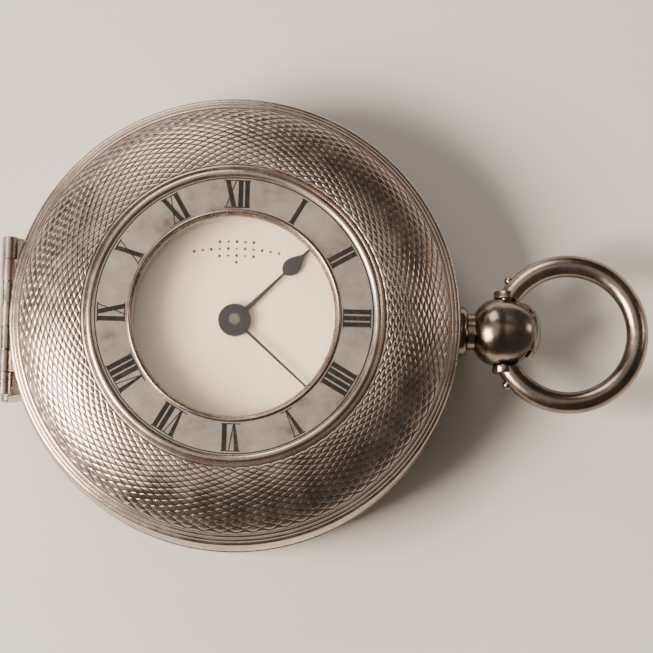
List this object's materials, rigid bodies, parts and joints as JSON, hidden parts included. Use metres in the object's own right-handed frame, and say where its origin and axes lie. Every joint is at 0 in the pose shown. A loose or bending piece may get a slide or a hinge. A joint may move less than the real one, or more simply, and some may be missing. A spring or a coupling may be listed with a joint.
{
  "type": "half-hunter pocket watch",
  "caption": "Half-hunter pocket watch in a silver case with a sprung lid, small window, Roman chapter rings, ball pendant and bow, with its key-wound lever movement inside.",
  "frame": {"origin": "centre of the flat of the back cover, on which the watch lies", "axes": "+X to the pendant at three o'clock, +Y to twelve o'clock, +Z out of the front cover"},
  "size_m": [0.0691, 0.0482, 0.0151],
  "materials": {
    "case_silver": "worn polished silver, engine-turned on the front cover",
    "inner_silver": "polished silver",
    "clear_glass": "polished glass",
    "black_enamel": "black enamel",
    "white_enamel": "glossy vitreous enamel on copper",
    "gilt_brass": "frosted gilt brass",
    "copper": "plain copper",
    "polished_steel": "polished hardened steel",
    "blued_steel": "heat-blued steel",
    "spring_steel": "tempered spring steel",
    "ruby": "polished ruby"
  },
  "bodies": {
    "case": {"case_band": "case_silver", "front_hinge_pin": "polished_steel", "back_hinge_pin": "polished_steel", "pendant": "case_silver", "spring_screws": "blued_steel", "click_spring": "polished_steel", "top_plate": "gilt_brass", "pillar_plate": "gilt_brass", "pillars": "gilt_brass", "movement_screws": "blued_steel", "plate_jewels": "ruby", "balance_cock": "gilt_brass", "balance_jewels": "ruby", "pallet_cock": "gilt_brass", "hairspring": "blued_steel", "hairspring_stud": "polished_steel", "minute_wheel_post": "polished_steel", "dial": "white_enamel", "dial_feet": "copper", "dial_numerals": "black_enamel"},
    "push": {"push_piece": "case_silver"},
    "bow_ring": {"bow": "case_silver"},
    "lock": {"lock_spring": "spring_steel"},
    "lift": {"lift_spring": "spring_steel"},
    "lid": {"front_cover": "case_silver", "window_bezel": "case_silver", "window_glass": "clear_glass", "chapter_enamel": "black_enamel"},
    "bezel": {"dial_bezel": "inner_silver", "dial_crystal": "clear_glass"},
    "back": {"back_cover": "case_silver"},
    "dome": {"dust_dome": "inner_silver"},
    "going_barrel": {"barrel": "gilt_brass", "barrel_cover": "gilt_brass", "mainspring": "spring_steel"},
    "winding": {"winding_arbor": "polished_steel", "ratchet_wheel": "polished_steel"},
    "click_pawl": {"click": "polished_steel"},
    "centre": {"centre_pinion": "polished_steel", "centre_wheel": "gilt_brass"},
    "third": {"third_pinion": "polished_steel", "third_wheel": "gilt_brass"},
    "fourth": {"fourth_pinion": "polished_steel", "fourth_wheel": "gilt_brass"},
    "escape": {"escape_pinion": "polished_steel", "escape_wheel": "polished_steel"},
    "lever": {"pallet_lever": "polished_steel", "pallet_stones": "ruby", "pallet_staff": "polished_steel"},
    "balance": {"balance_wheel": "gilt_brass", "balance_screws": "gilt_brass", "balance_staff": "polished_steel", "impulse_jewel": "ruby"},
    "regulator": {"regulator_index": "polished_steel"},
    "minute": {"cannon_pinion": "polished_steel", "minute_hand": "blued_steel"},
    "hour": {"hour_wheel": "gilt_brass", "hour_hand": "blued_steel"},
    "motion": {"minute_wheel": "gilt_brass"}
  },
  "joints": [
    {"name": "lid_hinge", "type": "hinge", "parent": "case", "child": "lid", "pos_m": [-0.02415, 0, 0.01], "axis": [0, -1, 0], "range_deg": [0, 100]},
    {"name": "bezel_hinge", "type": "hinge", "parent": "case", "child": "bezel", "pos_m": [-0.02415, 0, 0.01], "axis": [0, -1, 0], "range_deg": [0, 60]},
    {"name": "back_hinge", "type": "hinge", "parent": "case", "child": "back", "pos_m": [-0.02415, 0, 0.0044], "axis": [0, 1, 0], "range_deg": [0, 100]},
    {"name": "dome_hinge", "type": "hinge", "parent": "case", "child": "dome", "pos_m": [-0.02415, 0, 0.0044], "axis": [0, 1, 0], "range_deg": [0, 60]},
    {"name": "bow_swing", "type": "hinge", "parent": "case", "child": "bow_ring", "pos_m": [0.0288, 0, 0.0072], "axis": [0, 1, 0], "range_deg": [-95, 95]},
    {"name": "push_travel", "type": "slide", "parent": "case", "child": "push", "axis": [-1, 0, 0], "range_m": [0, 0.00035], "stiffness_N_per_m": 8000},
    {"name": "lock_flex", "type": "hinge", "parent": "case", "child": "lock", "pos_m": [0.01265, 0.01806, 0.0075], "axis": [0, 0, 1], "range_deg": [-1.3, 0.1]},
    {"name": "lift_flex", "type": "hinge", "parent": "case", "child": "lift", "pos_m": [-0.01265, 0.01806, 0.0075], "axis": [0, 0, 1], "range_deg": [-0.6, 0.1]},
    {"name": "minute_turn", "type": "hinge", "parent": "case", "child": "minute", "pos_m": [0, 0, 0.007], "axis": [0, 0, -1], "continuous": true},
    {"name": "hour_turn", "type": "hinge", "parent": "case", "child": "hour", "pos_m": [0, 0, 0.007], "axis": [0, 0, -1], "continuous": true},
    {"name": "motion_turn", "type": "hinge", "parent": "case", "child": "motion", "pos_m": [-0.00338, -0.00123, 0.007], "axis": [0, 0, -1], "continuous": true},
    {"name": "escape_turn", "type": "hinge", "parent": "case", "child": "escape", "pos_m": [-0.00454, -0.00867, 0.007], "axis": [0, 0, -1], "continuous": true},
    {"name": "fourth_turn", "type": "hinge", "parent": "case", "child": "fourth", "pos_m": [-0.00854, -0.00636, 0.007], "axis": [0, 0, -1], "continuous": true},
    {"name": "third_turn", "type": "hinge", "parent": "case", "child": "third", "pos_m": [-0.00665, -0.00117, 0.007], "axis": [0, 0, -1], "continuous": true},
    {"name": "centre_turn", "type": "hinge", "parent": "case", "child": "centre", "pos_m": [0, 0, 0.007], "axis": [0, 0, -1], "continuous": true},
    {"name": "barrel_turn", "type": "hinge", "parent": "case", "child": "going_barrel", "pos_m": [0.00428, 0.0074, 0.007], "axis": [0, 0, -1], "continuous": true},
    {"name": "winding_turn", "type": "hinge", "parent": "case", "child": "winding", "pos_m": [0.00428, 0.0074, 0.007], "axis": [0, 0, -1], "continuous": true},
    {"name": "click_lift", "type": "hinge", "parent": "case", "child": "click_pawl", "pos_m": [0.00799, 0.00876, 0.00327], "axis": [0, 0, -1], "range_deg": [0, 12], "stiffness_Nm_per_rad": 0.000002, "deforming": ["click_spring"]},
    {"name": "lever_rock", "type": "hinge", "parent": "case", "child": "lever", "pos_m": [-0.00096, -0.00963, 0.0056], "axis": [0, 0, -1], "range_deg": [-5, 5]},
    {"name": "balance_swing", "type": "hinge", "parent": "case", "child": "balance", "pos_m": [0.00387, -0.01093, 0.005], "axis": [0, 0, -1], "range_deg": [-270, 270], "stiffness_Nm_per_rad": 0.0000006, "deforming": ["hairspring"]},
    {"name": "regulator_turn", "type": "hinge", "parent": "case", "child": "regulator", "pos_m": [0.00387, -0.01093, 0.00275], "axis": [0, 0, -1], "range_deg": [-20, 20]}
  ],
  "couplings": [
    {"joint": "bezel_hinge", "follows": "lid_hinge", "ratio": 0.6},
    {"joint": "dome_hinge", "follows": "back_hinge", "ratio": 0.6},
    {"joint": "lock_flex", "follows": "push_travel", "rad_per_m": -55.37},
    {"joint": "lift_flex", "follows": "lid_hinge", "ratio": -0.005},
    {"joint": "hour_turn", "follows": "minute_turn", "ratio": 0.083333},
    {"joint": "motion_turn", "follows": "minute_turn", "ratio": -0.33333},
    {"joint": "fourth_turn", "follows": "escape_turn", "ratio": -0.1},
    {"joint": "third_turn", "follows": "escape_turn", "ratio": 0.013333},
    {"joint": "centre_turn", "follows": "escape_turn", "ratio": -0.0016667},
    {"joint": "barrel_turn", "follows": "escape_turn", "ratio": 0.00020833}
  ]
}
